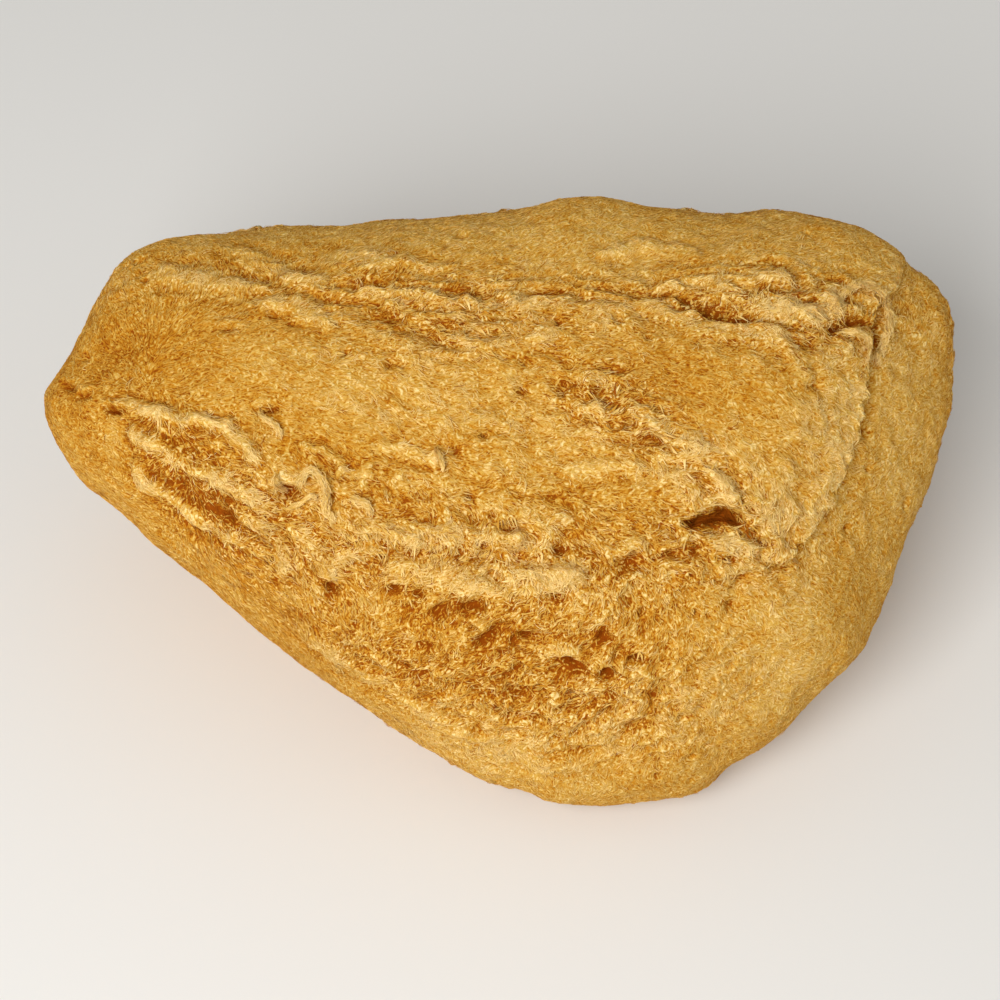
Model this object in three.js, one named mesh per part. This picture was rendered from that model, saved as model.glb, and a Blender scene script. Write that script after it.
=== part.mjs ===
// A natural sea sponge, dried and trimmed, as one grown piece.
//
// It is a rounded wedge: a narrow tip on the left, a broad lobed end on the right, a top that
// rises towards the back, and a front that slopes down to the surface it stands on. It was cut
// from its rock with a knife, and stands on that flat cut.
//
// Units are millimetres, +Z is up and the origin is on the cut, under the middle of the sponge.
// The surface here is the one that the tips of the fibres reach.

import * as THREE from "three";
import { mergeVertices } from "three/addons/utils/BufferGeometryUtils.js";

// Driving dimensions
const LENGTH = 127; // tip to broad end, along X
const LEAN = THREE.MathUtils.degToRad(53); // how far the girth's normal stands above the horizon
const GIRTH_HEIGHT = 28; // the girth's middle above the cut
const UNDER_DEPTH = 39; // how far the body goes down behind the girth
const ROUNDNESS = 0.72; // 1 is an ellipsoid, and less is blockier
const UNDER_ROUNDNESS = 0.62;
const EDGE_BLEND = 3.2; // radius at which the faces of the wedge run into each other
const FACETS = 19; // the icosphere's detail: 20 * (FACETS + 1)^2 triangles

// The girth is the sponge's widest outline, in the plane that leans back by LEAN. Each point is
// [right, up] from its middle, as a share of the length, anticlockwise from the tip.
const GIRTH = [
  [-0.499, 0.109],
  [-0.489, 0.070],
  [-0.466, 0.032],
  [-0.384, -0.041],
  [-0.274, -0.135],
  [-0.164, -0.218],
  [-0.076, -0.276],
  [-0.012, -0.308],
  [0.028, -0.319],
  [0.054, -0.334],
  [0.115, -0.335],
  [0.188, -0.328],
  [0.228, -0.311],
  [0.25, -0.289],
  [0.281, -0.275],
  [0.306, -0.258],
  [0.333, -0.226],
  [0.366, -0.195],
  [0.397, -0.167],
  [0.417, -0.116],
  [0.442, -0.05],
  [0.469, 0.009],
  [0.491, 0.087],
  [0.501, 0.165],
  [0.497, 0.207],
  [0.469, 0.246],
  [0.43, 0.28],
  [0.369, 0.309],
  [0.27, 0.318],
  [0.246, 0.313],
  [0.166, 0.325],
  [0.087, 0.334],
  [0.028, 0.323],
  [-0.108, 0.309],
  [-0.274, 0.296],
  [-0.373, 0.284],
  [-0.411, 0.268],
  [-0.438, 0.232],
  [-0.466, 0.168],
];

// The faces of the wedge, in front of the girth. Each is a plane: its height in front of the
// girth's middle, and how fast it rises to the right and upwards.
const FACES = [
  { height: 29.5, right: 0.03, up: -0.16 }, // the broad top, turned to the light
  { height: 40.0, right: 0.0, up: -0.62 }, // the back of the top, which falls away
  { height: 36.5, right: -0.02, up: 0.46 }, // the front, below the ragged edge
  { height: 52.5, right: 0.46, up: 0.1 }, // towards the narrow tip
  { height: 62.0, right: -0.78, up: -0.06 }, // the broad right end
];

// Low swells and hollows that the growth left: [right, up] from the girth's middle, the height
// of the swell and its radius.
const SWELLS = [
  { at: [-28, 14], rise: 1.6, radius: 17 },
  { at: [8, 6], rise: -1.4, radius: 12 },
  { at: [20, -22], rise: 1.8, radius: 13 },
  { at: [34, 16], rise: 1.5, radius: 12 },
  { at: [-16, -9], rise: -1.1, radius: 10 },
  { at: [47, -6], rise: -1.6, radius: 9 },
  { at: [-6, 29], rise: 1.3, radius: 11 },
  { at: [-44, 4], rise: 1.2, radius: 9 },
];

// The girth's radius in each direction, read from a smooth closed curve through its points.
function girthRadius() {
  const curve = new THREE.CatmullRomCurve3(
    GIRTH.map(([right, up]) => new THREE.Vector3(right * LENGTH, up * LENGTH, 0)),
    true,
    "centripetal",
  );
  const spots = curve
    .getPoints(GIRTH.length * 12)
    .map((p) => ({ angle: Math.atan2(p.y, p.x), radius: Math.hypot(p.x, p.y) }))
    .sort((a, b) => a.angle - b.angle);
  const turn = 2 * Math.PI;
  return (angle) => {
    let next = spots.findIndex((spot) => spot.angle > angle);
    if (next < 0) next = spots.length;
    const after = spots[next % spots.length];
    const before = spots[(next + spots.length - 1) % spots.length];
    const gap = (after.angle - before.angle + turn) % turn || 1;
    const share = ((angle - before.angle + turn) % turn) / gap;
    return THREE.MathUtils.lerp(before.radius, after.radius, share);
  };
}

// The lowest of several heights, with the corners between them rounded off.
function softLowest(heights, blend) {
  const least = Math.min(...heights);
  const sum = heights.reduce((total, h) => total + Math.exp((least - h) / blend), 0);
  return least - blend * Math.log(sum);
}

// How far the wedge's faces stand in front of the girth, at a place on it.
function frontHeight(right, up) {
  const faces = FACES.map((face) => face.height + face.right * right + face.up * up);
  const swell = SWELLS.reduce((total, { at, rise, radius }) => {
    const away = Math.hypot(right - at[0], up - at[1]) / radius;
    return total + rise * Math.exp(-away * away);
  }, 0);
  return softLowest(faces, EDGE_BLEND) + swell;
}

// Takes a point of the unit sphere to the sponge's surface.
function grow(point, radiusAt) {
  const across = Math.hypot(point.x, point.y);
  const front = point.z >= 0;
  const roundness = front ? ROUNDNESS : UNDER_ROUNDNESS;
  const reach = radiusAt(Math.atan2(point.y, point.x)) * across ** roundness;
  const right = across > 0 ? (point.x / across) * reach : 0;
  const up = across > 0 ? (point.y / across) * reach : 0;
  const share = Math.abs(point.z) ** roundness;
  const out = front ? share * frontHeight(right, up) : -share * UNDER_DEPTH;
  // From the leaning girth to the upright frame, down to the flat cut at most.
  const y = up * Math.sin(LEAN) - out * Math.cos(LEAN);
  const z = GIRTH_HEIGHT + up * Math.cos(LEAN) + out * Math.sin(LEAN);
  point.set(right, y, Math.max(z, 0));
}

function spongeGeometry() {
  const geometry = new THREE.IcosahedronGeometry(1, FACETS);
  geometry.deleteAttribute("normal");
  geometry.deleteAttribute("uv");
  const merged = mergeVertices(geometry, 1e-5);
  const radiusAt = girthRadius();
  const position = merged.getAttribute("position");
  const point = new THREE.Vector3();
  for (let i = 0; i < position.count; i += 1) {
    point.fromBufferAttribute(position, i).normalize();
    grow(point, radiusAt);
    position.setXYZ(i, point.x, point.y, point.z);
  }
  merged.computeBoundingBox();
  const middle = merged.boundingBox.getCenter(new THREE.Vector3());
  merged.translate(-middle.x, -middle.y, 0);
  merged.computeVertexNormals();
  return merged;
}

const spongin = new THREE.MeshStandardMaterial({
  name: "spongin",
  color: 0xc79641,
  roughness: 0.9,
  metalness: 0,
});

const sponge = new THREE.Mesh(spongeGeometry(), spongin);
sponge.name = "sponge";

const object = new THREE.Group();
object.name = "sea_sponge";
object.add(sponge);

export default object;
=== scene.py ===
"""The looks of a natural sea sponge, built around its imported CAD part.

The body is the CAD solid drawn in by the height of the nap, with its crests, pores, creases
and torn hollow pushed into it. The nap, the wool and the curls are fibres of spongin, each a
thin closed strand, joined into a few meshes. Lengths are millimetres unless a comment says
otherwise or MM turns them to metres. Places on the front are given on the girth: the sponge's
widest outline, a plane that leans back and faces up and forwards.
"""

import itertools
import math

import bmesh
import bpy
import numpy as np
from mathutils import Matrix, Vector
from mathutils.bvhtree import BVHTree


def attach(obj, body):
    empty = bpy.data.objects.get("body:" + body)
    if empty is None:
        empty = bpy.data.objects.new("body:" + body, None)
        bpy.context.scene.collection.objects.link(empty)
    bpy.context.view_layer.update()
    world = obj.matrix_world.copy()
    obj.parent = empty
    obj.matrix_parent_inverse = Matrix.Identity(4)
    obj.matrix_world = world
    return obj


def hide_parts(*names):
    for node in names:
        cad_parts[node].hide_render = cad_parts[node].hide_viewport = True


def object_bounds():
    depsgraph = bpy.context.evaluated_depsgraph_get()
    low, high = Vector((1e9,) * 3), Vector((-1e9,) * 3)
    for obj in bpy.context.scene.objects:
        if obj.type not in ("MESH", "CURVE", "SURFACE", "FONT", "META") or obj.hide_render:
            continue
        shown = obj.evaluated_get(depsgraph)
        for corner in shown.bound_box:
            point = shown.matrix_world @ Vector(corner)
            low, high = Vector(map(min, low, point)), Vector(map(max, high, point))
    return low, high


bl_info = {
    "name": "Sea sponge",
    "version": (1, 0, 0),
    "blender": (4, 5, 0),
    "location": "3D View > Sidebar > Sponge",
    "description": "Builds a dried natural sea sponge: its body, nap, wool, curls and stage",
    "category": "Object",
}

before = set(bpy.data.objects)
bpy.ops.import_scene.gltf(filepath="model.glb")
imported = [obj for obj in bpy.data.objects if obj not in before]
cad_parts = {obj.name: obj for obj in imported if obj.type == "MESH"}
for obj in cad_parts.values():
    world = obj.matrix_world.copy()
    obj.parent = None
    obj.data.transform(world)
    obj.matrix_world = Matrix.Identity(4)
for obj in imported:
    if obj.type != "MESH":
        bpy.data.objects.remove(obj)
CAD_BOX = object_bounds()

MM = 0.001
NODE = "sponge"
CHART = "OFBake"  # the fibres' UV map: across is the tint, and up is from root to tip

# The girth's middle, and its own axes: to the right, up along the lean, and out to the front.
LEAN = math.radians(53)
MIDDLE = np.array([-0.13, -4.46, 28.0])
AXES = np.array(
    [
        [1.0, 0.0, 0.0],
        [0.0, math.sin(LEAN), math.cos(LEAN)],
        [0.0, -math.cos(LEAN), math.sin(LEAN)],
    ]
)

CUT_LEVEL = 0.1 * MM  # what lies lower is the knife cut
BODY_CLEARANCE = 0.15 * MM  # the body keeps this far above the floor, and its fibres less
FIBRE_CLEARANCE = 0.02 * MM
TALLEST = 1.3  # no crest stands higher over the body as it is drawn in
SHARPEST_BEND = 0.6  # the cosine of the sharpest bend that a fibre may have

# Real spongin fibres are a few hundredths of a millimetre thick. That is too fine to show, so
# the pieces below are drawn as thick as they need to be, and fewer: count, length and width.
NAP_FRONT = (46000, 1.5, 0.08)
NAP_BACK = (28000, 1.6, 0.14)
LOCKS = 1600  # of wool, on each side
STRANDS_PER_LOCK = 6
CURL_STRANDS = 40  # for each mm of a curl

# The camera and the lights. Their places are metres from the girth's middle.
CAMERA_DISTANCE = 0.388
LENS = 100
SENSOR = 36
KEY_LIGHT = (0.35, 3.2, (-0.19, -0.4, 0.43))  # size in metres, watts and place
FILL_LIGHT = (0.5, 0.2, (0.45, -0.25, 0.28))
FLOOR_REACH = 12  # from its middle to each side, in diagonals of the sponge
ROOM_LIGHT = 0.42

# Soft ellipses on the front: right, up, half length, half width, turn in degrees, strength.
# RAGGED is where the felt is torn and matted, and PALE is where it is paler, or darker if the strength is
# below 0. Most PALE spots are the felt's own bleached and amber patches, but some stand in for light and
# shade: a painted sheen along the right edge, low on the right and along the top, and painted shade at the
# left end and low on the left.
RAGGED = [
    (0, -7, 27, 7, -6, 1.0),
    (-34, -1, 17, 6.5, -38, 1.0),
    (6, -20, 19, 8, 0, 0.5),
    (-4, 27.5, 48, 4, -3, 0.65),
    (38, 25, 14, 6, -8, 0.9),
    (30, -4, 9, 5, -12, 0.9),
    (22, 7, 12, 4, -38, 0.9),
    (13, 14, 6, 4, 0, 0.7),
    (-4, 22, 14, 4, 0, 0.6),
    (42, 5, 8, 12, -15, 0.4),
    (-16, -21, 13, 4, -18, 0.6),
    (5, -28, 16, 6, 10, 0.5),
    (-2, 10, 26, 8, -12, 0.3),
    (18, -30, 16, 7, 15, 0.4),
]
PALE = [
    (-14, 15.5, 24, 5, -14, 0.12),
    (3, -8.5, 10, 3.6, -4, 0.34),
    (30, 1, 10, 5.5, -16, 0.22),
    (38, -21, 9, 9, 40, 0.22),
    (27, 23, 16, 3, -6, 0.15),
    (42, 6, 6, 13, -15, 0.25),
    (55, 10, 6, 22, 5, 0.2),
    (5, 36, 50, 5, -1, 0.15),
    (-57, 13, 6, 8, 0, -0.16),
    (-4, -34, 12, 3, -20, 0.25),
    (-46, 20, 11, 7, 0, -0.28),
    (-22, 5.5, 9, 3.5, -25, -0.14),
    (20, 17, 10, 6, 0, -0.22),
    (0, -17, 22, 6, 4, -0.24),
    (4, -25, 15, 4.5, -10, -0.26),
    (16, -3, 9, 4, -10, -0.12),
    (8, 1.5, 7, 2, 0, -0.12),
    (-38, -2, 15, 6, -38, -0.26),
    (0, 4, 8, 3, 0, 0.12),
    (16, -30, 22, 6, 12, 0.14),
]

# Which way the nap is combed: right, up, reach, direction in degrees, strength.
GROOM = [
    (-42, 20, 12, -28, 1.4),
    (-20, 14, 16, -24, 1.6),
    (6, 12, 14, -18, 1.4),
    (26, 14, 12, -30, 1.4),
    (34, 2, 9, -62, 1.6),
    (42, 14, 9, -28, 1.2),
    (14, -2, 10, -12, 1.0),
    (-6, -16, 13, 214, 1.6),
    (12, -20, 11, 222, 1.3),
    (-30, -8, 12, -40, 1.4),
    (6, -31, 10, 232, 1.2),
    (0, 29, 30, 4, 1.2),
]

# Felted strips and crests: height, width, paleness, then the points that they run through. The paleness
# also sets how dark the groove beside each strip is painted, as painted shade.
CRESTS = [
    (0.9, 0.8, 0.6, [(-50, 13), (-45, 11.5), (-40.5, 10.5), (-36.5, 10), (-34, 8), (-32, 5.5)]),
    (0.9, 1.0, 0.55, [(-48, 8.5), (-44, 6.5), (-40, 4.5), (-36.5, 2.5), (-33.5, 1), (-31, -1)]),
    (0.9, 0.8, 0.55, [(-48, 4), (-47, 2), (-43.5, 0.5), (-40, -2.5), (-35.5, -4.5), (-31, -7)]),
    (0.7, 0.9, 0.4, [(-35, -1), (-31.5, -3.5), (-29.5, -5.5), (-28.5, -9.5)]),
    (0.8, 1.0, 0.4, [(-27, -4), (-24.5, -6.5), (-22.5, -9), (-20, -7), (-16.5, -6.5)]),
    (0.7, 0.6, 0.4, [(-25.5, 7), (-23, 6.5), (-21, 5), (-20.5, 3.5)]),
    (0.7, 0.6, 0.4, [(-20.5, 3.5), (-18.5, 3.5), (-17, 4.5), (-17.5, 2)]),
    (0.8, 0.8, 0.45, [(-15, 7), (-12.5, 6.5), (-10, 5.5), (-8.5, 5.5)]),
    (0.6, 1.3, 0.25, [(-13, 2.5), (-8, 2), (-2.5, 0), (2.5, -1.5), (8, -2.5)]),
    (0.9, 1.4, 0.35, [(-22, -2.5), (-17, -4), (-10.5, -4.5), (-4, -5), (2.5, -6)]),
    (0.9, 1.8, 0.3, [(-13, -9), (-6.5, -9.5), (0, -10.5), (6.5, -10), (9.5, -9)]),
    (0.7, 1.2, 0.3, [(9.5, 3.5), (13, 4.5), (17, 4.5)]),
    (0.9, 1.1, 0.35, [(15.5, 11.5), (18, 11), (22, 9), (25.5, 7), (27.5, 4.5), (30, 0), (30.5, -1)]),
    (0.7, 1.0, 0.3, [(24, -4.5), (28.5, -5.5), (34, -6.5), (38, -5.5)]),
    (0.6, 0.9, 0.3, [(10, 16.5), (13, 16), (16, 14)]),
    (0.6, 0.9, 0.3, [(9.5, 13), (13, 11.5), (15, 10.5)]),
    (0.7, 1.4, 0.3, [(-46.5, 31), (-40.5, 29.5), (-35.5, 28.5), (-30, 26.5), (-22.5, 24.5)]),
    (0.6, 1.1, 0.25, [(-36.5, 34), (-30.5, 31.5), (-24.5, 28.5)]),
    (0.6, 1.2, 0.25, [(-23, 33), (-18, 32.5), (-12, 31), (-6.5, 30)]),
    (0.6, 1.2, 0.3, [(-18, 28), (-13, 27), (-7, 26), (2, 26.5), (8, 26)]),
    (0.6, 0.8, 0.25, [(-15, 26.5), (-10.5, 24), (-6.5, 21.5), (-2, 20.5), (2.5, 20), (6.5, 22.5)]),
    (0.6, 0.9, 0.2, [(14, 33), (18, 34.5), (23, 34), (26, 33)]),
    (0.7, 0.9, 0.3, [(21.5, 28.5), (27, 29), (31.5, 29), (35, 30), (38.5, 29.5)]),
    (0.6, 1.1, 0.3, [(19.5, 26), (24, 24), (29.5, 22.5), (33.5, 23), (37.5, 21)]),
    (0.5, 1.3, 0.6, [(34.5, 25.5), (37.5, 25), (41, 24.5), (44, 25), (45, 27.5)]),
    (0.7, 0.9, 0.35, [(7, -19), (9.5, -20)]),
    (0.7, 0.9, 0.45, [(16, -21.5), (18.5, -22.5)]),
    (0.6, 0.8, 0.3, [(-3, -25), (2, -23.5), (9, -24), (13, -24.5)]),
    (0.6, 1.0, 0.3, [(-27.5, -16.5), (-24, -19.5), (-20.5, -21), (-15.5, -21.5)]),
    (0.5, 1.0, 0.3, [(-23, -21.5), (-17, -23.5), (-13, -26.5), (-9, -29), (-4.5, -32)]),
]

# Gaps and tears between them: depth, width, darkness, then their points. The darkness is painted shade in
# the gap. The last but one is the crease low on the front, and the last is the torn hollow.
GAPS = [
    (0.5, 1.3, 0.3, [(-46, 9.5), (-41, 8), (-37, 7)]),
    (0.5, 1.2, 0.3, [(-45, 3), (-40.5, 1), (-37, -1)]),
    (0.6, 1.0, 0.3, [(-18.5, 25), (-15, 24.5), (-12, 23.5), (-9.5, 23), (-4.5, 22)]),
    (1.4, 0.8, 0.6, [(25, 26.5), (28, 25.5), (32.5, 24)]),
    (1.2, 0.6, 0.9, [(44.5, 23.5), (47, 24), (49, 24)]),
    (1.2, 1.0, 0.6, [(50.5, 23.5), (51.3, 21)]),
    (0.5, 0.4, 0.5, [(40, 20.5), (44, 22.5), (46, 23.3)]),
    (0.5, 0.9, 0.3, [(20.5, -26.5), (20.5, -28.5), (18.5, -30.5), (15.5, -32.5)]),
    (0.5, 0.6, 0.4, [(11, -33.5), (8.5, -34.3)]),
    (3.0, 0.7, 2.4, [(24.5, -3), (27, -2.5), (29.5, -2), (31, -3)]),
]

# The ragged edge of the front, and the lip of the flap on the right, which stands above the
# side next to it.
FRONT_EDGE = [(-61.5, 13.5), (-54, 13.5), (-39, 8), (-19.5, -3), (0, -11), (15.5, -13), (26, -9)]
FLAP_LIP = [(53, 28.5), (51, 25.5), (48.5, 13.5), (44.5, 0), (41, -4), (38.5, -7), (31, -9.5)]

# Pores that stand out: right, up, half length, half width, turn, depth.
PORES = [
    (-27.5, 1, 1.5, 1, -10, 2.6),
    (-22.5, -12, 1, 1, 0, 2.2),
    (-8, -14.5, 2, 1, 35, 2.0),
    (-11.5, -14, 1, 0.5, 0, 1.6),
    (-13.5, -11.5, 1, 0.5, 0, 1.6),
    (-4, -14, 2, 1, 10, 1.8),
    (-1.5, -18, 2, 1, 40, 2.4),
    (3, -18, 1.5, 0.5, 10, 1.8),
    (6.5, -12.5, 1.5, 0.5, -10, 1.6),
    (2.5, -6.5, 1, 1, 40, 2.2),
    (7.5, -6.5, 1, 1, 0, 2.0),
    (-2.5, -5.5, 1, 0.5, 0, 1.6),
    (-10, -19, 1, 0.5, 0, 1.8),
    (16.5, -8, 2, 1, 20, 1.9),
    (21.5, -7, 2, 0.5, 10, 1.8),
    (9.5, -22, 2, 1, -20, 2.2),
    (14, -23, 1, 1, 0, 2.4),
    (17.5, -21, 1, 0.5, 10, 1.6),
    (13.5, -17.5, 1, 1, 60, 1.7),
    (-10.5, -23, 1, 0.5, 0, 1.7),
    (2.5, -25.5, 1, 0.5, 10, 1.4),
    (12.5, -27, 1.5, 0.5, 30, 1.6),
    (-58.5, 15.5, 1, 0.5, -20, 1.4),
    (-55.5, 14, 1, 0.5, 0, 1.8),
    (-51.5, 12, 1, 0.5, -10, 2.2),
    (-30.5, 12, 1.5, 0.5, -5, 1.8),
    (-17, 29, 1, 0.5, 5, 1.6),
    (-30, 25, 1, 0.5, -5, 1.7),
    (-36.5, 23, 1, 0.5, 0, 1.4),
    (34.5, -5.5, 1, 0.5, 0, 2.2),
    (30, -7.5, 1, 0.5, 30, 1.8),
    (47, 23.5, 2, 0.5, 5, 1.6),
]

# Curls of matted fibre that stand up from the front: thickness, lift, then their points.
CURLS = [
    (
        0.75,
        1.3,
        [(-26.5, 1.5), (-25.5, 3), (-24.5, 4), (-23, 2.5), (-22.5, 0.5), (-22.5, -1.5), (-21.5, -3)],
    ),
    (0.7, 1.1, [(-19.5, 0.5), (-17.5, -0.5), (-16.5, -2)]),
    (0.55, 1.0, [(-29, 3.5), (-29, 2), (-27.5, 1)]),
    (0.4, 0.8, [(-27.5, -1), (-26, -0.5), (-24.5, 0.5), (-23.5, 0)]),
    (0.45, 0.8, [(-31.5, 12), (-31, 11), (-29, 9.5), (-28.5, 8)]),
    (0.4, 0.9, [(-8.5, 7), (-7.5, 5), (-7.5, 3.5)]),
    (
        0.9,
        1.2,
        [(44, 25), (46.5, 28), (48.5, 29), (51.5, 28), (52.5, 25.5), (52.5, 23), (51.5, 20.5), (50.5, 18)],
    ),
    (0.6, 0.8, [(45, 22.5), (48.5, 22), (49.5, 20), (49, 18)]),
]


# ---------------------------------------------------------------- plain helpers


def linear(code):
    """An sRGB hex colour as linear red, green, blue and alpha."""
    parts = [int(code[i : i + 2], 16) / 255 for i in (1, 3, 5)]
    return [p / 12.92 if p <= 0.04045 else ((p + 0.055) / 1.055) ** 2.4 for p in parts] + [1.0]


def to_girth(points):
    """Points of the row frame, in metres, as right, up and out in mm."""
    return (points / MM - MIDDLE) @ AXES.T


def from_girth(places):
    """Right, up and out in mm as points of the row frame, in metres."""
    return (places @ AXES + MIDDLE) * MM


def step(x, low, high):
    """Goes smoothly from 0 at low to 1 at high."""
    t = np.clip((x - low) / (high - low), 0, 1)
    return t * t * (3 - 2 * t)


def unit(vectors):
    return vectors / np.maximum(np.linalg.norm(vectors, axis=-1, keepdims=True), 1e-9)


def noise(points, size, seed):
    """Smooth noise, mostly from -1 to 1, with a hill or a hollow about every size mm."""
    rng = np.random.default_rng(seed)
    order = rng.permutation(256)
    slopes = unit(rng.normal(size=(256, 3)))
    places = points / size
    cell = np.floor(places).astype(int)
    part = places - cell
    fade = part**3 * (part * (part * 6 - 15) + 10)
    total = np.zeros(len(points))
    for corner in itertools.product((0, 1), repeat=3):
        x, y, z = ((cell + corner) & 255).T
        pick = order[(order[(order[x] + y) & 255] + z) & 255]
        weight = np.prod(np.where(corner, fade, 1 - fade), axis=1)
        total += weight * np.einsum("ij,ij->i", slopes[pick], part - corner)
    return total * 1.7


def grain(places, along, across, turn, seed):
    """Noise drawn out along a direction on the girth."""
    c, s = math.cos(math.radians(turn)), math.sin(math.radians(turn))
    right, up, out = places.T
    drawn = np.stack([(right * c + up * s) / along, (up * c - right * s) / across, out / across], 1)
    return noise(drawn, 1.0, seed)


def soft_ellipse(places, right, up, along, across, turn):
    """1 in the middle of an ellipse on the girth, falling off smoothly."""
    c, s = math.cos(math.radians(turn)), math.sin(math.radians(turn))
    x, y = places[:, 0] - right, places[:, 1] - up
    return np.exp(-(((x * c + y * s) / along) ** 2 + ((y * c - x * s) / across) ** 2))


def ellipses(places, spots):
    return sum(soft_ellipse(places, *spot[:5]) * spot[5] for spot in spots)


def from_line(places, line):
    """How far each place on the girth is from a line of points, and on which side of it."""
    flat = places[:, :2]
    best = np.full(len(flat), np.inf)
    side = np.zeros(len(flat))
    for a, b in itertools.pairwise(np.array(line, float)):
        way = b - a
        share = np.clip((flat - a) @ way / (way @ way), 0, 1)
        gap = flat - a - share[:, None] * way
        far = np.hypot(gap[:, 0], gap[:, 1])
        nearer = far < best
        best = np.where(nearer, far, best)
        side = np.where(nearer, np.sign(gap[:, 1] * way[0] - gap[:, 0] * way[1]), side)
    return best, side


# ---------------------------------------------------------------- the sponge's relief


def wobble(places, amount, seed):
    """Places moved about a little, which frays the edges of what is drawn with them."""
    shift = np.stack([noise(places, 1.6, seed + i) for i in range(2)] + [np.zeros(len(places))], 1)
    return places + amount * shift


def front_share(places):
    """1 on the front, where features have their own places, and 0 behind the girth."""
    return step(places[:, 2], -3, 5)


def raggedness(places):
    """1 where the fibre is torn and matted, and 0 where it is a short even nap."""
    front = front_share(places)
    patchy = np.clip(0.45 + 0.9 * noise(places, 15, 11), 0, 1)
    placed = np.clip(ellipses(places, RAGGED), 0, 1)
    return front * placed + (1 - front) * patchy


def crumple(places, along, across, turn, seed):
    """Folds of felt drawn out along a direction, from -1 in the gaps to 1 on the crests."""
    broad = grain(places, along, across, turn, seed)
    narrow = grain(places, along * 0.5, across * 0.55, turn + 12, seed + 100)
    return 1 - 2.6 * np.abs(broad) + 0.7 * narrow - 0.35


def knots(places):
    """The matted crests and hollows of the ragged parts, from -1 to 1, drawn out along the grain."""
    right, up = places[:, 0], places[:, 1]
    moved = places + 1.2 * np.stack([noise(places, 3.5, 26 + i) for i in range(3)], 1)
    left = step(-right, 8, 26) * step(-up, -14, -2)
    low = step(-up, 10, 16) * (1 - left)
    high = step(up, 20, 26) * (1 - left)
    rest = 1 - left - low - high
    turned = [
        (left, 0.3 * crumple(moved, 8.0, 3.0, -38, 21)),
        (low, crumple(moved, 4.6, 3.0, 24, 22)),
        (high, crumple(moved, 10.0, 2.6, -5, 25)),
        (rest, crumple(moved, 6.0, 3.0, -8, 23)),
    ]
    coarse = sum(share * np.clip(value, -1, 1) for share, value in turned)
    return coarse + 0.3 * noise(places, 1.1, 24)


def pores(places, front, scattered):
    """How deep the pores go at each place, and how much of a frayed rim stands above one."""
    frayed = wobble(places, 0.45, 31)
    depth = np.zeros(len(places))
    rim = np.zeros(len(places))
    for right, up, along, across, turn, deep in PORES:
        depth = np.maximum(depth, deep * soft_ellipse(frayed, right, up, along, across, turn))
        above = soft_ellipse(frayed, right, up + 1.8 * across, 1.2 * along, 0.9 * across, turn)
        rim = np.maximum(rim, 0.3 * deep * above)
    depth *= front
    for spot, radius, deep in scattered:
        near = np.abs(places - spot).max(1) < 3 * radius
        away = ((frayed[near] - spot) ** 2).sum(1) / radius**2
        depth[near] = np.maximum(depth[near], deep * np.exp(-away))
    return depth, rim * front


def relief(places, scattered):
    """The height of the surface over the plain body, its paleness, which holds painted shade and light as
    well as the felt's own tone, and how deep its pores are.
    """
    front = front_share(places)
    ragged = raggedness(places)
    crest = knots(places)
    frayed = wobble(places, 0.6, 41)
    flat = np.zeros(len(places))
    bent = frayed + 1.6 * np.stack([noise(places, 7, 43), noise(places, 7, 44), flat], 1)

    smooth = 0.14 * noise(places, 1.4, 52) + 0.16 * noise(places, 3.2, 55)
    height = 0.5 * noise(places, 9, 51) + ragged * 0.95 * crest + (1 - ragged) * smooth
    # Paler on the matted crests and darker in the hollows between them: the crests' own bleached fibre,
    # and painted shade in the hollows.
    pale = 0.36 * ragged * crest + 0.1 * noise(places, 6, 53) + 0.13 * noise(places, 2.1, 56)
    pale += front * ellipses(bent, PALE)
    broken = np.clip(0.7 + 0.8 * noise(places, 4, 54), 0.15, 1.2)
    for rise, width, light, line in CRESTS:
        away, _ = from_line(frayed, line)
        bump = front * np.exp(-((away / width) ** 3)) * broken
        beside = front * np.exp(-((away / width - 1.7) ** 2) * 4)
        height += 0.8 * rise * bump - 0.25 * rise * beside
        # The strips are paler felt, and the groove beside each one is darkened as painted shade.
        pale += 1.1 * light * bump - 0.6 * light * beside

    edge, _ = from_line(bent, FRONT_EDGE)
    height += front * 0.6 * np.exp(-((edge / 3) ** 2)) * broken
    pale += front * 0.15 * np.exp(-((edge / 2.6) ** 2)) * ragged * broken
    lip, outside = from_line(frayed + 0.7 * (bent - frayed), FLAP_LIP)
    inner = outside < 0
    step_down = -1.1 * np.exp(-lip / 2.8) + 0.5 * np.exp(-lip / 0.5)
    height += front * np.where(inner, 0.8 * np.exp(-lip / 6), step_down)
    # Paler just inside the lip, and darker on the side below it outside: a painted shadow of the lip.
    pale += front * np.where(inner, 0.2 * np.exp(-lip / 2.5), -0.3 * np.exp(-lip / 1.2))
    # Each gap is sunk and also darkened: painted shade in the gap.
    for deep, width, gap_shade, line in GAPS:
        away, _ = from_line(frayed, line)
        dip = front * np.exp(-((away / width) ** 2))
        height -= deep * dip
        pale -= gap_shade * dip

    depth, rim = pores(places, front, scattered)
    # Pores are darkened by their depth, as painted shade; their raised rims are paler.
    return height - depth + rim, pale - 0.36 * depth + 0.6 * rim, depth, ragged


# ---------------------------------------------------------------- body


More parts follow.
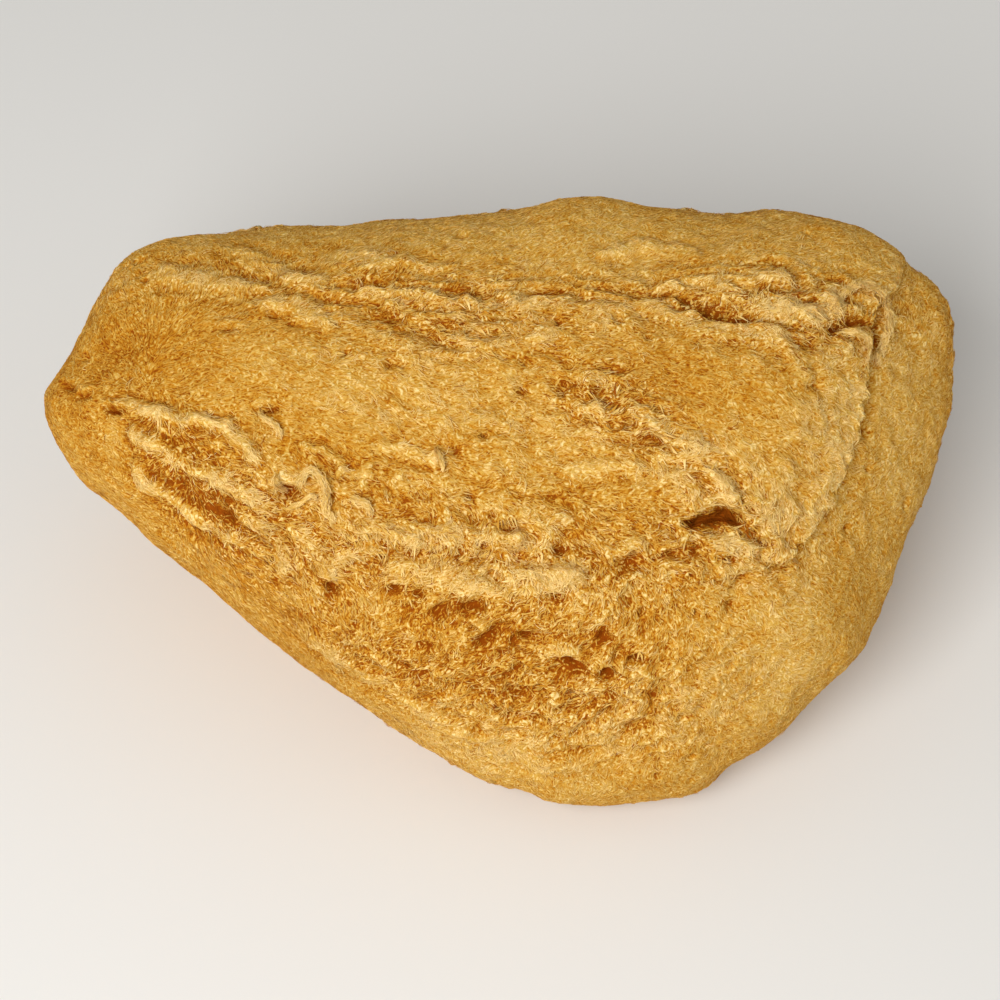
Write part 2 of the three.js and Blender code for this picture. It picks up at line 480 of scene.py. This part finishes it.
def finer(bm, front_edge, back_edge):
    """Splits long edges until they are short enough, and shorter on the front."""
    out = Vector(AXES[2])
    for _ in range(7):
        bm.normal_update()
        share = [0.0] * len(bm.verts)
        for v in bm.verts:
            share[v.index] = min(max((v.normal.dot(out) + 0.1) / 0.5, 0.0), 1.0)
        long = []
        for e in bm.edges:
            faced = (share[e.verts[0].index] + share[e.verts[1].index]) / 2
            if e.calc_length() > (back_edge + (front_edge - back_edge) * faced) * MM:
                long.append(e)
        if not long:
            return
        bmesh.ops.subdivide_edges(bm, edges=long, cuts=1)
        bmesh.ops.triangulate(bm, faces=[f for f in bm.faces if len(f.verts) > 3])
        bmesh.ops.beautify_fill(bm, faces=bm.faces, edges=bm.edges, method="ANGLE")
        bm.verts.index_update()


def plain_body(looks):
    """The CAD solid's own surface as a fine mesh with its facets smoothed out."""
    bm = bmesh.new()
    bm.from_mesh(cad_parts[NODE].data)
    bmesh.ops.remove_doubles(bm, verts=bm.verts, dist=1e-6)
    finer(bm, looks.front_grain / MM, looks.back_grain / MM)
    free = [v for v in bm.verts if v.co.z > 0.2 * MM]
    for _ in range(6):
        bmesh.ops.smooth_vert(
            bm, verts=free, factor=0.5, use_axis_x=True, use_axis_y=True, use_axis_z=True
        )
    mesh = bpy.data.meshes.new("sponge_body")
    bm.to_mesh(mesh)
    bm.free()
    return mesh


def read(mesh, data, name, width):
    values = np.empty(len(data) * width, np.float32)
    data.foreach_get(name, values)
    return values.astype(float).reshape(-1, width)


def scattered_pores(points, seed):
    """Small pores all over, and wider ones that the knife cut open: place, radius and depth."""
    rng = np.random.default_rng(seed)
    places = to_girth(points)
    on_cut = points[:, 2] < CUT_LEVEL
    front = front_share(places)
    often = 0.0016 + 0.0045 * raggedness(places) - 0.0013 * front
    found = []
    for i in np.flatnonzero(~on_cut & (rng.random(len(points)) < often)):
        found.append((places[i], rng.uniform(0.3, 0.7), rng.uniform(0.5, 1.3)))
    for i in rng.choice(np.flatnonzero(on_cut), 150, replace=False):
        found.append((places[i], rng.uniform(0.7, 1.9), rng.uniform(1.0, 3.0)))
    return found


def make_body(looks):
    mesh = plain_body(looks)
    points = read(mesh, mesh.vertices, "co", 3)
    normals = read(mesh, mesh.vertex_normals, "vector", 3)
    on_cut = points[:, 2] < CUT_LEVEL
    places = to_girth(points)
    height, pale, depth, ragged = relief(places, scattered_pores(points, looks.seed))
    height = np.where(on_cut, -depth, np.minimum(height, TALLEST) - looks.nap_height / MM)
    points += normals * height[:, None] * MM
    points[:, 2] = np.maximum(points[:, 2], BODY_CLEARANCE)
    mesh.vertices.foreach_set("co", points.ravel())
    mesh.update()
    mesh.shade_smooth()
    # pale carries the painted shade of pores, gaps and grooves and the painted light of a few spots into
    # the body's colour and the fibres' tints.
    for name, values in (("pale", pale), ("depth", depth), ("ragged", ragged)):
        mesh.attributes.new(name, "FLOAT", "POINT").data.foreach_set("value", values)
    flow = laid(read(mesh, mesh.vertex_normals, "vector", 3), combed(places, ragged))
    mesh.attributes.new("flow", "FLOAT_VECTOR", "POINT").data.foreach_set("vector", flow.ravel())
    return mesh


# ---------------------------------------------------------------- fibres


def smooth_runs(paths):
    """Which of several paths have no sharp kink, as one over the brink of a pore would."""
    legs = unit(np.diff(paths, axis=1))
    return (legs[:, 1:] * legs[:, :-1]).sum(2).min(1) > SHARPEST_BEND


def fibre_mesh(name, corners, faces, chart):
    """A mesh of many alike closed fibres: each one's corners, the faces between them, and each
    corner's place on the colour chart."""
    count, size, _ = corners.shape
    index = (np.arange(count)[:, None, None] * size + np.array(faces)[None]).reshape(-1)
    mesh = bpy.data.meshes.new(name)
    mesh.vertices.add(count * size)
    mesh.vertices.foreach_set("co", np.maximum(corners, [-1, -1, FIBRE_CLEARANCE]).ravel())
    mesh.loops.add(len(index))
    mesh.loops.foreach_set("vertex_index", index)
    mesh.polygons.add(len(index) // 3)
    mesh.polygons.foreach_set("loop_start", np.arange(0, len(index), 3))
    mesh.update(calc_edges=True)
    mesh.shade_flat()
    layer = mesh.uv_layers.new(name=CHART)
    layer.data.foreach_set("uv", chart.reshape(-1, 2)[index].ravel())
    return mesh


def on_chart(tints, across, along):
    """Each corner's place on the chart: the fibre's tint and a little to the side, and how far
    along the fibre it is."""
    spread = 0.012
    right = np.clip(tints, spread, 1 - spread)[:, None] + spread * np.array(across)
    return np.stack(np.broadcast_arrays(right, np.array(along, float)), 2)


def blades(name, roots, knees, tips, normals, widths, tints):
    """Short fibres with one bend and a keel below it: four faces each."""
    side = unit(np.cross(tips - roots, normals)) * widths[:, None] / 2
    corners = np.stack([roots, knees - side, knees + side, tips], 1)
    faces = [(0, 2, 1), (3, 1, 2), (0, 1, 3), (0, 3, 2)]
    return fibre_mesh(name, corners, faces, on_chart(tints, [0, -1, 1, 0], [0, 0.5, 0.5, 1]))


def strands(name, paths, normals, widths, tints):
    """Longer fibres that follow paths from root to tip. They have three sides, and a flat one
    faces away from the body."""
    count, points, _ = paths.shape
    rings = points - 2
    ahead = unit(paths[:, 2:] - paths[:, :-2])
    side = unit(np.cross(ahead, normals[:, None, :]))
    rise = np.cross(side, ahead)
    share = np.linspace(0, 1, points)[1:-1]
    taper = (1.15 - 0.55 * share)[None, :, None, None] * widths[:, None, None, None] / 2
    turn = np.array([1 / 6, 5 / 6, 3 / 2])[:, None] * math.pi
    round_it = np.cos(turn) * side[:, :, None] + 0.35 * np.sin(turn) * rise[:, :, None]
    ring = paths[:, 1:-1, None] + taper * round_it
    corners = np.concatenate([paths[:, :1], ring.reshape(count, rings * 3, 3), paths[:, -1:]], 1)
    tip = rings * 3 + 1
    faces = []
    for i in range(3):
        j = (i + 1) % 3
        faces.append((0, 1 + j, 1 + i))
        faces.append((tip, tip - 3 + i, tip - 3 + j))
        for low in range(1, tip - 3, 3):
            faces.append((low + i, low + j, low + 3 + j))
            faces.append((low + i, low + 3 + j, low + 3 + i))
    across = [0, *([-1, 1, 0] * rings), 0]
    return fibre_mesh(name, corners, faces, on_chart(tints, across, [0, *np.repeat(share, 3), 1]))


class Ground:
    """The finished body, to plant fibres on."""

    def __init__(self, mesh):
        mesh.calc_loop_triangles()
        self.corners = read(mesh, mesh.loop_triangles, "vertices", 3).astype(int)
        self.points = read(mesh, mesh.vertices, "co", 3)
        self.normals = read(mesh, mesh.vertex_normals, "vector", 3)
        self.values = {
            name: read(mesh, mesh.attributes[name].data, "value", 1)[:, 0]
            for name in ("pale", "depth", "ragged")
        }
        a, b, c = (self.points[self.corners[:, i]] for i in range(3))
        self.area = np.linalg.norm(np.cross(b - a, c - a), axis=1) / 2
        self.middles = (a + b + c) / 3
        self.facing = unit(np.cross(b - a, c - a))
        self.tree = BVHTree.FromPolygons(self.points.tolist(), self.corners.tolist())

    def parts(self):
        """How much of each face belongs to the left and right of the front, and to the back."""
        front = self.facing @ AXES[2] > -0.12
        left = self.middles[:, 0] < 2 * MM
        on_cut = self.facing[:, 2] < -0.8
        return front & left, front & ~left, ~front * np.where(on_cut, 0.3, 1.0)

    def plant(self, count, weights, rng):
        """Random roots on the body, as shares of the corners of its faces."""
        odds = self.area * weights
        face = rng.choice(len(odds), count, p=odds / odds.sum())
        share = rng.dirichlet((1, 1, 1), count)
        corners = self.corners[face]

        def at(values):
            return np.einsum("ij,ij...->i...", share, values[corners])

        values = {name: at(v) for name, v in self.values.items()}
        return at(self.points), unit(at(self.normals)), values

    def above(self, points, height):
        """The nearest places on the body, raised by a height in mm."""
        found = [self.tree.find_nearest(point) for point in points.reshape(-1, 3).tolist()]
        spots = np.array([spot for spot, _, _, _ in found])
        out = np.array([normal for _, normal, _, _ in found])
        return (spots + out * np.ravel(height)[:, None] * MM).reshape(points.shape)


def combed(places, ragged, rng=None):
    """The way the nap lies, on the girth: outwards, or as it was combed, and unruly with an rng."""
    outwards = unit(places[:, :2] * [1.0, 1.5])
    reach = np.hypot(places[:, 0] / 60, places[:, 1] / 38)
    way = outwards * (0.15 + 1.3 * step(reach, 0.5, 1.0))[:, None]
    front = front_share(places)
    for right, up, radius, turn, strength in GROOM:
        pull = strength * front * soft_ellipse(places, right, up, radius, radius, 0)
        heading = np.array([math.cos(math.radians(turn)), math.sin(math.radians(turn))])
        way += pull[:, None] * heading
    swirl = (0.4 + 1.0 * ragged) * noise(places, 4, 61)
    swirl = swirl + (0.25 + 0.6 * ragged) * noise(places, 1.3, 62)
    if rng:
        swirl += rng.normal(size=len(places)) * (0.22 + 0.22 * ragged)
    c, s = np.cos(swirl), np.sin(swirl)
    x, y = unit(way).T
    return np.stack([x * c - y * s, x * s + y * c, np.zeros(len(places))], 1)


def laid(normals, way):
    """Directions on the girth laid down on the surface."""
    world = way @ AXES
    return unit(world - np.einsum("ij,ij->i", world, normals)[:, None] * normals)


def make_nap(name, ground, count, weights, length, width, seed):
    """Fibres laid down on the body and following its relief: combed and even where it is smooth,
    and longer and more unruly where it is ragged."""
    rng = np.random.default_rng(seed)
    roots, normals, values = ground.plant(count, weights, rng)
    ragged = values["ragged"]
    flat = laid(normals, combed(to_girth(roots), ragged, rng))
    reach = length * rng.uniform(0.6, 1.2, count) * (0.85 + 0.4 * ragged)
    reach = reach / (1 + 0.6 * values["depth"])
    along = flat * reach[:, None] * MM
    side = np.cross(normals, flat) * (reach * rng.normal(size=count) * 0.05)[:, None] * MM
    lift = np.abs(rng.normal(0.08, 0.03 + 0.06 * ragged))
    knees = ground.above(roots + along * 0.5 + side, 0.04 + 0.5 * lift)
    tips = ground.above(roots + along, lift)
    # Over a hollow a fibre runs straight across, so that no fibre shows its underside.
    arch = np.einsum("ij,ij->i", knees - (roots + tips) / 2, normals)
    knees += normals * np.maximum(0.03 * MM - arch, 0)[:, None]
    widths = width * rng.uniform(0.75, 1.3, count) * MM
    tints = 0.47 + 0.6 * values["pale"] + rng.normal(size=count) * (0.07 + 0.19 * ragged)
    roots = roots - normals * 0.02 * MM
    keep = smooth_runs(np.stack([roots, knees, tips], 1))
    return blades(name, *(each[keep] for each in (roots, knees, tips, normals, widths, tints)))


def make_wool(name, ground, locks, weights, seed):
    """Locks of fine curly fibre on the ragged parts, thickest and palest on the crests."""
    rng = np.random.default_rng(seed)
    ragged = ground.values["ragged"][ground.corners].mean(1)
    pale = ground.values["pale"][ground.corners].mean(1)
    dry = ground.middles[:, 2] > 1.5 * MM
    weights = weights * dry * (0.01 + ragged + step(pale, 0.3, 0.6))
    weights = weights * (0.12 + step(pale, -0.1, 0.4))
    roots, normals, values = ground.plant(locks, weights, rng)
    flat = laid(normals, combed(to_girth(roots), values["ragged"], rng))
    side = np.cross(normals, flat)
    reach = rng.uniform(1.0, 2.4, locks)
    bend = rng.normal(size=locks) * 1.1
    high = rng.uniform(0.0, 0.2, locks) * (0.5 + 0.6 * values["ragged"])
    share = np.linspace(0, 1, 4)

    each = np.repeat(np.arange(locks), STRANDS_PER_LOCK)
    total = len(each)

    def vary(middle, by):
        return (middle[each] + rng.normal(size=total) * by)[:, None]

    length = reach[each][:, None] * rng.uniform(0.6, 1.1, (total, 1))
    turn = vary(bend, 0.4) * share * 0.8
    forward = rng.uniform(-0.6, 0.3, (total, 1)) + length * share * np.cos(turn)
    across = rng.normal(size=(total, 1)) * 0.35 + length * share * np.sin(turn)
    lift = 0.08 + vary(high, 0.05) * np.sin(share * math.pi * 0.8)
    spread = forward[..., None] * flat[each][:, None] + across[..., None] * side[each][:, None]
    paths = ground.above(roots[each][:, None] + spread * MM, lift)
    widths = rng.uniform(0.08, 0.13, total) * MM
    tints = 0.58 + 0.6 * values["pale"] + rng.normal(size=locks) * 0.18
    tints = vary(tints, 0.26)[:, 0]
    keep = smooth_runs(paths)
    return strands(name, *(part[keep] for part in (paths, normals[each], widths, tints)))


def rounded(line, steps):
    """Points along a smooth curve through a line's points."""
    line = np.array(line, float)
    ends = np.concatenate([[2 * line[0] - line[1]], line, [2 * line[-1] - line[-2]]])
    found = []
    for a, b, c, d in zip(ends, ends[1:], ends[2:], ends[3:]):
        bow = 2 * a - 5 * b + 4 * c - d
        twist = 3 * b - a - 3 * c + d
        for t in np.linspace(0, 1, steps, endpoint=False):
            found.append(0.5 * (2 * b + (c - a) * t + bow * t**2 + twist * t**3))
    found.append(line[-1])
    return np.array(found)


def make_curls(name, ground, seed):
    """Ropes of matted fibre that follow the curls and stand up from the body."""
    rng = np.random.default_rng(seed)
    inward = Vector(-AXES[2])
    share = np.linspace(0, 1, 5)
    paths, normals, tints, widths = [], [], [], []
    for thick, lift, line in CURLS:
        route = rounded(line, 12)
        run = np.concatenate([[0], np.cumsum(np.hypot(*np.diff(route, axis=0).T))])
        for _ in range(int(CURL_STRANDS * run[-1])):
            long = min(rng.uniform(0.7, 1.7), run[-1])
            at = rng.uniform(0, run[-1] - long) + long * share
            spot = np.stack([np.interp(at, run, route[:, 0]), np.interp(at, run, route[:, 1])], 1)
            spot += rng.normal(size=2) * thick * 0.36 + rng.normal(size=(5, 2)) * thick * 0.16
            arch = np.sin(np.clip(at / run[-1], 0, 1) * math.pi) ** 0.5
            high = np.maximum(lift * arch + rng.normal() * thick * 0.35, 0.05)
            path = []
            for (right, up), over in zip(spot, high):
                above = Vector(from_girth(np.array([right, up, 60.0])))
                hit, normal, _, _ = ground.tree.ray_cast(above, inward)
                if hit is None:
                    break
                path.append(np.array(hit) - np.array(inward) * over * MM)
            if len(path) == len(share):
                paths.append(path)
                normals.append(np.array(normal))
                tints.append(0.82 + rng.normal() * 0.16)
                widths.append(rng.uniform(0.09, 0.14) * MM)
    return strands(name, np.array(paths), np.array(normals), np.array(widths), np.array(tints))


# ---------------------------------------------------------------- materials


def add(tree, kind, links=None, **settings):
    """Adds a node with its settings, then its values and links by socket."""
    node = tree.nodes.new(kind)
    for name, value in settings.items():
        setattr(node, name, value)
    for socket, value in (links or {}).items():
        if isinstance(value, bpy.types.NodeSocket):
            tree.links.new(value, node.inputs[socket])
        else:
            node.inputs[socket].default_value = value
    return node


def new_material(name, **finish):
    """A material with one Principled shader, and its node tree and shader."""
    material = bpy.data.materials.new(name)
    material.use_nodes = True
    tree = material.node_tree
    shader = next(n for n in tree.nodes if n.type == "BSDF_PRINCIPLED")
    for socket, value in finish.items():
        shader.inputs[socket.replace("_", " ")].default_value = value
    return material, tree, shader


def ramp(tree, factor, stops):
    node = add(tree, "ShaderNodeValToRGB", {"Fac": factor})
    spots = node.color_ramp.elements
    while len(spots) < len(stops):
        spots.new(0.5)
    for spot, (place, colour) in zip(spots, stops):
        spot.position = place
        spot.color = linear(colour)
    return node.outputs["Color"]


def spongin_fibre(looks):
    """Spongin fibre, dried in the sun: amber at the root and bleached to cream at the tip; the darker root
    is also painted shade, where the fibres shade each other near the body, and the lowest tints, which
    fibres in pores and gaps get, run to the painted shade of the pore colour. So much light is scattered
    between the fibres that they look matt, with hardly any glint."""
    material, tree, shader = new_material(
        "dried_spongin_fibre", Roughness=0.8, IOR=1.54, Specular_IOR_Level=0.06
    )
    chart = add(tree, "ShaderNodeUVMap", uv_map=CHART)
    parts = add(tree, "ShaderNodeSeparateXYZ", {"Vector": chart.outputs["UV"]})
    root = ramp(tree, parts.outputs["X"], [(0.0, looks.pore), (0.25, looks.amber), (0.6, looks.gold)])
    tip = ramp(
        tree,
        parts.outputs["X"],
        [(0.0, looks.pore), (0.2, looks.amber), (0.45, looks.gold), (0.9, looks.cream)],
    )
    along = add(
        tree, "ShaderNodeMapRange", {"Value": parts.outputs["Y"], "From Min": 0.1, "From Max": 0.75}
    )
    mix = add(
        tree,
        "ShaderNodeMix",
        {"Factor": along.outputs["Result"], "A": root, "B": tip},
        data_type="RGBA",
    )
    tree.links.new(mix.outputs["Result"], shader.inputs["Base Color"])
    return material


def matted_strands(tree, place, cell, pitch, length, seed):
    """Strands of fibre that lie side by side in small patches, each patch turned its own way: a
    value from about 0 to 1. cell, pitch and length are in metres."""
    moved = add(tree, "ShaderNodeVectorMath", {0: place, 1: (seed, 0, 0)}, operation="ADD")
    patch = add(
        tree, "ShaderNodeTexVoronoi", {"Vector": moved.outputs["Vector"], "Scale": 1 / cell}
    )
    local = add(
        tree,
        "ShaderNodeVectorMath",
        {0: moved.outputs["Vector"], 1: patch.outputs["Position"]},
        operation="SUBTRACT",
    )
    flow = add(tree, "ShaderNodeAttribute", attribute_name="flow").outputs["Vector"]
    normal = add(tree, "ShaderNodeNewGeometry").outputs["Normal"]
    chance = add(tree, "ShaderNodeSeparateXYZ", {"Vector": patch.outputs["Color"]})
    angle = add(
        tree,
        "ShaderNodeMapRange",
        {"Value": chance.outputs["X"], "To Min": -0.7, "To Max": 0.7},
    )
    turned = add(
        tree,
        "ShaderNodeVectorRotate",
        {"Vector": local.outputs["Vector"], "Axis": normal, "Angle": angle.outputs["Result"]},
        rotation_type="AXIS_ANGLE",
    )
    side = add(tree, "ShaderNodeVectorMath", {0: normal, 1: flow}, operation="CROSS_PRODUCT")
    along = add(
        tree, "ShaderNodeVectorMath", {0: turned.outputs["Vector"], 1: flow}, operation="DOT_PRODUCT"
    )
    across = add(
        tree,
        "ShaderNodeVectorMath",
        {0: turned.outputs["Vector"], 1: side.outputs["Vector"]},
        operation="DOT_PRODUCT",
    )
    spot = add(
        tree,
        "ShaderNodeCombineXYZ",
        {"X": along.outputs["Value"], "Y": across.outputs["Value"], "Z": chance.outputs["Y"]},
    )
    drawn = add(
        tree,
        "ShaderNodeVectorMath",
        {0: spot.outputs["Vector"], 1: (1 / length, 1 / pitch, 40.0)},
        operation="MULTIPLY",
    )
    streak = add(
        tree, "ShaderNodeTexNoise", {"Vector": drawn.outputs["Vector"], "Scale": 1.0, "Detail": 2.0}
    )
    return streak.outputs["Fac"]


def curled_fibres(tree, place, size, lines, seed):
    """Fine curly fibres lying side by side: the level lines of a smooth noise, a value from 0 to 1.
    size, in metres, is how far a fibre runs before it curls round."""
    moved = add(tree, "ShaderNodeVectorMath", {0: place, 1: (seed, 0, 0)}, operation="ADD")
    hills = add(
        tree,
        "ShaderNodeTexNoise",
        {"Vector": moved.outputs["Vector"], "Scale": 1 / size, "Detail": 1.0, "Distortion": 0.4},
    )
    phase = add(
        tree, "ShaderNodeMath", {0: hills.outputs["Fac"], 1: lines * 2 * math.pi}, operation="MULTIPLY"
    )
    wave = add(tree, "ShaderNodeMath", {0: phase.outputs["Value"]}, operation="SINE")
    return add(
        tree, "ShaderNodeMapRange", {"Value": wave.outputs["Value"], "From Min": -1.0}
    ).outputs["Result"]


def spongin_body(looks):
    """Matted spongin under the nap: amber, a little darker than the nap, partly its own colour and partly
    painted shade under the fibres, darker still in the pores, gaps and grooves as painted shade, and
    covered in fibres that lie too flat to be pieces of their own. Fibres of their real thickness would be
    too fine to show, so the strands are drawn 0.26 mm apart and the fuzz 0.3 mm across."""
    material, tree, shader = new_material(
        "matted_spongin", Roughness=0.9, IOR=1.54, Specular_IOR_Level=0.05
    )
    place = add(tree, "ShaderNodeTexCoord").outputs["Object"]
    pale = add(tree, "ShaderNodeAttribute", attribute_name="pale")
    ragged = add(tree, "ShaderNodeAttribute", attribute_name="ragged")
    combed_down = matted_strands(tree, place, 1.3 * MM, 0.26 * MM, 1.3 * MM, 3.0)
    curly = curled_fibres(tree, place, 1.7 * MM, 5.0, 5.0)
    curly_too = curled_fibres(tree, place, 1.2 * MM, 4.0, 9.0)
    fuzz = add(
        tree, "ShaderNodeTexNoise", {"Vector": place, "Scale": 1 / (0.3 * MM), "Detail": 1.0}
    ).outputs["Fac"]
    both = add(tree, "ShaderNodeMath", {0: curly, 1: curly_too}, operation="MULTIPLY").outputs["Value"]
    frizz = add(tree, "ShaderNodeMath", {0: both, 1: 0.55, 2: combed_down}, operation="MULTIPLY_ADD")
    strand = add(
        tree, "ShaderNodeMath", {0: fuzz, 1: 0.6, 2: frizz.outputs["Value"]}, operation="MULTIPLY_ADD"
    ).outputs["Value"]
    contrast = add(
        tree, "ShaderNodeMapRange", {"Value": ragged.outputs["Fac"], "To Min": 0.8, "To Max": 1.6}
    )
    level = add(tree, "ShaderNodeMath", {0: strand, 1: 0.94}, operation="SUBTRACT")
    tone = add(
        tree, "ShaderNodeMath", {0: pale.outputs["Fac"], 1: 0.62, 2: 0.4}, operation="MULTIPLY_ADD"
    )
    speckled = add(
        tree,
        "ShaderNodeMath",
        {0: level.outputs["Value"], 1: contrast.outputs["Result"], 2: tone.outputs["Value"]},
        operation="MULTIPLY_ADD",
    )
    colour = ramp(
        tree,
        speckled.outputs["Value"],
        [(0.0, looks.pore), (0.25, looks.amber), (0.55, looks.gold), (1.0, looks.cream)],
    )
    tree.links.new(colour, shader.inputs["Base Color"])
    bump = add(tree, "ShaderNodeBump", {"Height": strand, "Strength": 0.5, "Distance": 0.3 * MM})
    tree.links.new(bump.outputs["Normal"], shader.inputs["Normal"])
    return material


# ---------------------------------------------------------------- add-on


class SpongeLooks(bpy.types.PropertyGroup):
    """Sizes and colours that a user would change."""

    seed: bpy.props.IntProperty(name="Seed", description="Start of every random draw", default=7)
    nap_height: bpy.props.FloatProperty(
        name="Nap height",
        description="How far the body lies under the tips of the fibres",
        default=0.3 * MM,
        precision=5,
        unit="LENGTH",
        subtype="DISTANCE",
    )
    front_grain: bpy.props.FloatProperty(
        name="Front grain",
        description="Longest edge of the body's mesh on the front",
        default=0.73 * MM,
        precision=5,
        unit="LENGTH",
        subtype="DISTANCE",
    )
    back_grain: bpy.props.FloatProperty(
        name="Back grain",
        description="Longest edge of the body's mesh at the back and below",
        default=1.4 * MM,
        precision=5,
        unit="LENGTH",
        subtype="DISTANCE",
    )
    # The pore colour is painted shade: the dark end of every ramp, reached in pores, gaps and grooves.
    pore: bpy.props.StringProperty(name="Pore", description="Colour deep in a pore", default="#944806")
    amber: bpy.props.StringProperty(
        name="Amber", description="Colour of the matted fibre", default="#C4821C"
    )
    gold: bpy.props.StringProperty(name="Gold", description="Colour of the nap", default="#DCAE4E")
    cream: bpy.props.StringProperty(
        name="Cream", description="Colour of the bleached tips", default="#FFE098"
    )


def finish_piece(mesh, material, replaces=False):
    """Links a mesh as a piece of the sponge that rides with the CAD body."""
    piece = bpy.data.objects.new(mesh.name, mesh)
    bpy.context.scene.collection.objects.link(piece)
    mesh.materials.append(material)
    if replaces:
        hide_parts(NODE)
    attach(piece, "root")


class SPONGE_OT_body(bpy.types.Operator):
    """Makes the body: the CAD solid drawn in under the nap, with crests, pores and creases"""

    bl_idname = "sponge.body"
    bl_label = "Body"

    def execute(self, context):
        looks = context.scene.sponge_looks
        finish_piece(make_body(looks), spongin_body(looks), replaces=True)
        return {"FINISHED"}


class SPONGE_OT_nap(bpy.types.Operator):
    """Lays the combed nap all over the body"""

    bl_idname = "sponge.nap"
    bl_label = "Nap"

    def execute(self, context):
        looks = context.scene.sponge_looks
        ground = Ground(bpy.data.meshes["sponge_body"])
        left, right, back = ground.parts()
        sparse = 1 / (1 + ground.values["depth"][ground.corners].mean(1) * 1.5)
        parts = [
            ("nap_front_left", left * sparse, NAP_FRONT),
            ("nap_front_right", right * sparse, NAP_FRONT),
            ("nap_back", back, NAP_BACK),
        ]
        fibre = spongin_fibre(looks)
        for i, (name, weights, (count, length, width)) in enumerate(parts):
            mesh = make_nap(name, ground, count, weights, length, width, looks.seed + i)
            finish_piece(mesh, fibre)
        return {"FINISHED"}


class SPONGE_OT_wool(bpy.types.Operator):
    """Lays curly wool over the ragged parts and stands up the curls"""

    bl_idname = "sponge.wool"
    bl_label = "Wool and curls"

    def execute(self, context):
        looks = context.scene.sponge_looks
        ground = Ground(bpy.data.meshes["sponge_body"])
        left, right, back = ground.parts()
        fibre = bpy.data.materials["dried_spongin_fibre"]
        parts = [("wool_left", left), ("wool_right", right + 0.2 * back)]
        for i, (name, weights) in enumerate(parts):
            finish_piece(make_wool(name, ground, LOCKS, weights, looks.seed + 10 + i), fibre)
        finish_piece(make_curls("curls", ground, looks.seed + 20), fibre)
        return {"FINISHED"}


def add_light(name, kind, target):
    """A soft square white light, turned to target."""
    size, power, place = kind
    spot = target + Vector(place)
    data = bpy.data.lights.new(name, "AREA")
    data.size = size
    data.energy = power
    light = bpy.data.objects.new(name, data)
    light.location = spot
    light.rotation_mode = "QUATERNION"
    light.rotation_quaternion = (target - spot).to_track_quat("-Z", "Y")
    bpy.context.scene.collection.objects.link(light)


class SPONGE_OT_stage(bpy.types.Operator):
    """Adds the pale floor, the soft studio lights and the camera"""

    bl_idname = "sponge.stage"
    bl_label = "Stage"

    def execute(self, context):
        scene = context.scene
        low, high = CAD_BOX
        middle = Vector(MIDDLE * MM)
        out = Vector(AXES[2])

        bm = bmesh.new()
        reach = (high - low).length * FLOOR_REACH
        bmesh.ops.create_grid(bm, x_segments=1, y_segments=1, size=reach)
        mesh = bpy.data.meshes.new("floor")
        bm.to_mesh(mesh)
        bm.free()
        floor = bpy.data.objects.new("floor", mesh)
        scene.collection.objects.link(floor)
        material, _, shader = new_material("pale_matt_card", Roughness=0.9)
        shader.inputs["Base Color"].default_value = linear("#ECEAE6")
        mesh.materials.append(material)

        add_light("key", KEY_LIGHT, middle)
        add_light("fill", FILL_LIGHT, middle)
        world = bpy.data.worlds.new("studio")
        world.use_nodes = True
        room = world.node_tree.nodes["Background"]
        room.inputs["Color"].default_value = linear("#F4F4F2")
        room.inputs["Strength"].default_value = ROOM_LIGHT
        scene.world = world

        data = bpy.data.cameras.new("camera")
        data.lens = LENS
        data.sensor_width = SENSOR
        camera = bpy.data.objects.new("camera", data)
        camera.location = middle + out * CAMERA_DISTANCE
        camera.rotation_mode = "QUATERNION"
        camera.rotation_quaternion = (-out).to_track_quat("-Z", "Y")
        scene.collection.objects.link(camera)
        scene.camera = camera
        scene.view_settings.view_transform = "Standard"
        return {"FINISHED"}


class SPONGE_PT_panel(bpy.types.Panel):
    """Lists the sponge's sizes, colours and steps"""

    bl_idname = "SPONGE_PT_panel"
    bl_label = "Sea sponge"
    bl_space_type = "VIEW_3D"
    bl_region_type = "UI"
    bl_category = "Sponge"

    def draw(self, context):
        looks = context.scene.sponge_looks
        for name in SpongeLooks.__annotations__:
            self.layout.prop(looks, name)
        for step_class in STEPS:
            self.layout.operator(step_class.bl_idname)


STEPS = (SPONGE_OT_body, SPONGE_OT_nap, SPONGE_OT_wool, SPONGE_OT_stage)
CLASSES = (SpongeLooks, *STEPS, SPONGE_PT_panel)


def register():
    for each in CLASSES:
        bpy.utils.register_class(each)
    bpy.types.Scene.sponge_looks = bpy.props.PointerProperty(type=SpongeLooks)


def unregister():
    del bpy.types.Scene.sponge_looks
    for each in reversed(CLASSES):
        bpy.utils.unregister_class(each)


def main():
    register()
    bpy.ops.sponge.body()
    bpy.ops.sponge.nap()
    bpy.ops.sponge.wool()
    bpy.ops.sponge.stage()


if __name__ == "__main__":
    main()
